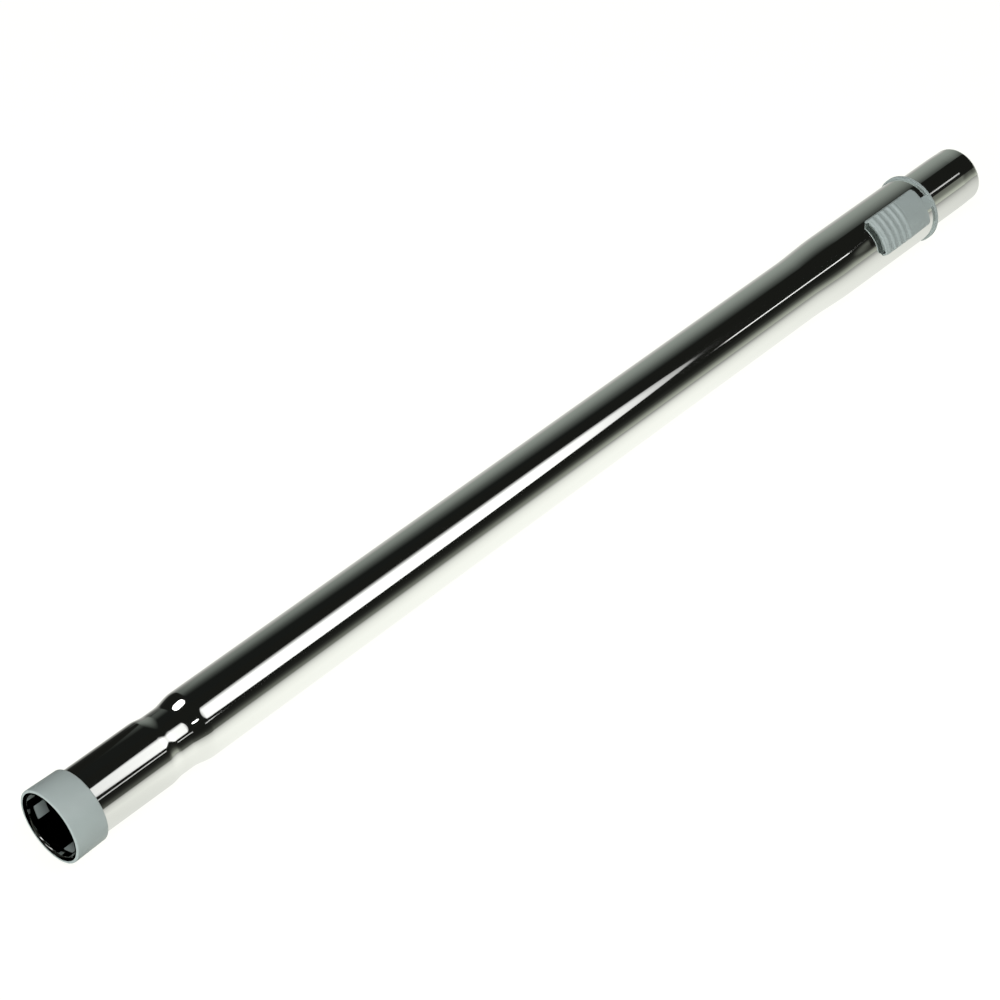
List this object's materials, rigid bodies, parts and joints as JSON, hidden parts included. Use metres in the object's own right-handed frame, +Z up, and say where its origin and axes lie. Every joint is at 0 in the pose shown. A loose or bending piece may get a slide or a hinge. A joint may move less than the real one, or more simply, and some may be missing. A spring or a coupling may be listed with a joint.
{
  "type": "telescopic vacuum wand",
  "caption": "Chromed telescopic wand tube for a vacuum cleaner, with a grey socket collar, a sprung slide button that frees the inner tube, and a tapered spigot for the floor head.",
  "frame": {"origin": "on the wand's axis where the straight bore of the socket begins, just inside the mouth that takes the handle's spigot", "axes": "+X along the wand from the socket to the spigot, +Z up as it lies on a floor, -Y to the front, where the slide button faces up and forward"},
  "size_m": [0.6627, 0.0409, 0.0405],
  "materials": {
    "chrome_tube": "bright chrome plate",
    "grey_plastic": "fine moulded satin",
    "slide_plastic": "natural bearing plastic",
    "plain_steel": "plain drawn steel",
    "black_rubber": "matte rubber"
  },
  "bodies": {
    "outer": {"outer_tube": "chrome_tube", "socket_collar": "grey_plastic", "guide_sleeve": "grey_plastic", "return_spring": "plain_steel"},
    "inner": {"inner_tube": "chrome_tube", "guide_ring": "slide_plastic", "seal_ring": "black_rubber"},
    "button": {"slide_button": "grey_plastic", "lock_slide": "slide_plastic"},
    "latch": {"latch_pin": "plain_steel"}
  },
  "joints": [
    {"name": "tube_slide", "type": "slide", "parent": "outer", "child": "inner", "axis": [1, 0, 0], "range_m": [0, 0.36]},
    {"name": "button_slide", "type": "slide", "parent": "outer", "child": "button", "axis": [1, 0, 0], "range_m": [0, 0.005], "stiffness_N_per_m": 500, "springref_m": -0.003, "deforming": ["return_spring"]},
    {"name": "pin_lift", "type": "slide", "parent": "outer", "child": "latch", "axis": [0, -0.7278, 0.6858], "range_m": [0, 0.0014]}
  ],
  "couplings": [
    {"joint": "pin_lift", "follows": "button_slide", "ratio": 0.28}
  ]
}
